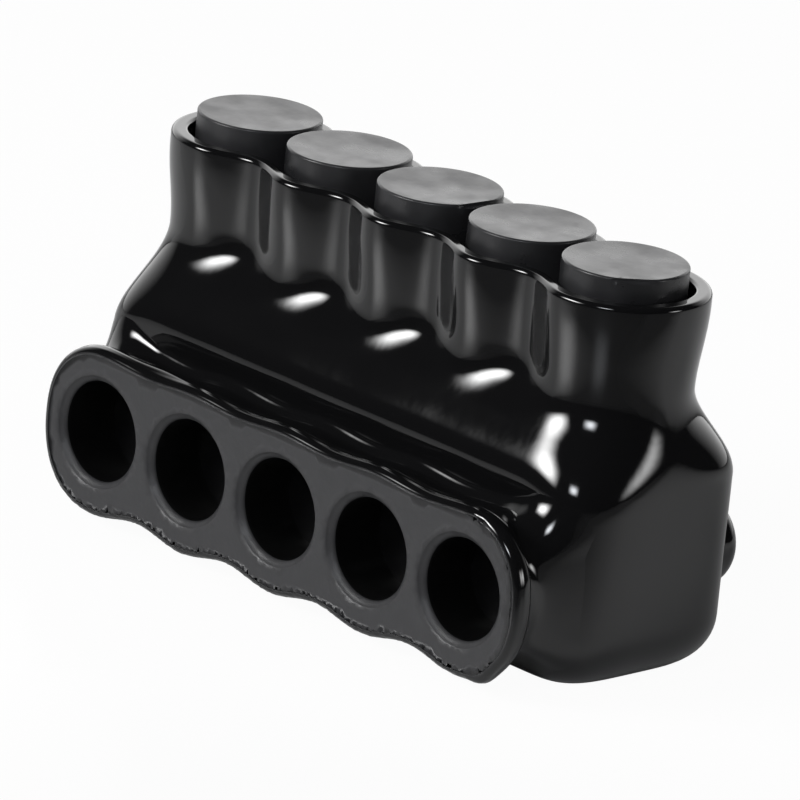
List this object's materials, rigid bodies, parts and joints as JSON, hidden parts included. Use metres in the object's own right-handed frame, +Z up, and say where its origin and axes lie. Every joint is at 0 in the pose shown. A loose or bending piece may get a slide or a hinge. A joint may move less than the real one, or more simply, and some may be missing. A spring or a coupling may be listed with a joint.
{
  "type": "insulated multi-tap connector",
  "caption": "Insulated multi-tap connector: a row of bored conductor ports in a moulded boot, with a hex set screw above each in a scalloped tower of plugged wells.",
  "frame": {"origin": "middle of the flat base, under the centre of the middle port's screw", "axes": "+X along the row of ports, +Z up out of the screw wells, conductors enter from -Y"},
  "size_m": [0.1524, 0.0737, 0.0874],
  "materials": {
    "shell": "glossy black dip-moulded vinyl",
    "bar": "tin-plated, satin",
    "screw": "bright, machined",
    "plug": "matte black, moulded"
  },
  "bodies": {
    "connector": {"insulation_shell": "shell", "conductor_bar": "bar"},
    "screw_1": {"set_screw_1": "screw"},
    "screw_2": {"set_screw_2": "screw"},
    "screw_3": {"set_screw_3": "screw"},
    "screw_4": {"set_screw_4": "screw"},
    "screw_5": {"set_screw_5": "screw"},
    "plug_1": {"access_plug_1": "plug"},
    "plug_2": {"access_plug_2": "plug"},
    "plug_3": {"access_plug_3": "plug"},
    "plug_4": {"access_plug_4": "plug"},
    "plug_5": {"access_plug_5": "plug"}
  },
  "joints": [
    {"name": "screw_1_down", "type": "slide", "parent": "connector", "child": "screw_1", "axis": [0, 0, -1], "range_m": [0, 0.0135]},
    {"name": "screw_2_down", "type": "slide", "parent": "connector", "child": "screw_2", "axis": [0, 0, -1], "range_m": [0, 0.0135]},
    {"name": "screw_3_down", "type": "slide", "parent": "connector", "child": "screw_3", "axis": [0, 0, -1], "range_m": [0, 0.0135]},
    {"name": "screw_4_down", "type": "slide", "parent": "connector", "child": "screw_4", "axis": [0, 0, -1], "range_m": [0, 0.0135]},
    {"name": "screw_5_down", "type": "slide", "parent": "connector", "child": "screw_5", "axis": [0, 0, -1], "range_m": [0, 0.0135]},
    {"name": "plug_1_pull", "type": "slide", "parent": "connector", "child": "plug_1", "axis": [0, 0, 1], "range_m": [0, 0.03]},
    {"name": "plug_2_pull", "type": "slide", "parent": "connector", "child": "plug_2", "axis": [0, 0, 1], "range_m": [0, 0.03]},
    {"name": "plug_3_pull", "type": "slide", "parent": "connector", "child": "plug_3", "axis": [0, 0, 1], "range_m": [0, 0.03]},
    {"name": "plug_4_pull", "type": "slide", "parent": "connector", "child": "plug_4", "axis": [0, 0, 1], "range_m": [0, 0.03]},
    {"name": "plug_5_pull", "type": "slide", "parent": "connector", "child": "plug_5", "axis": [0, 0, 1], "range_m": [0, 0.03]}
  ]
}
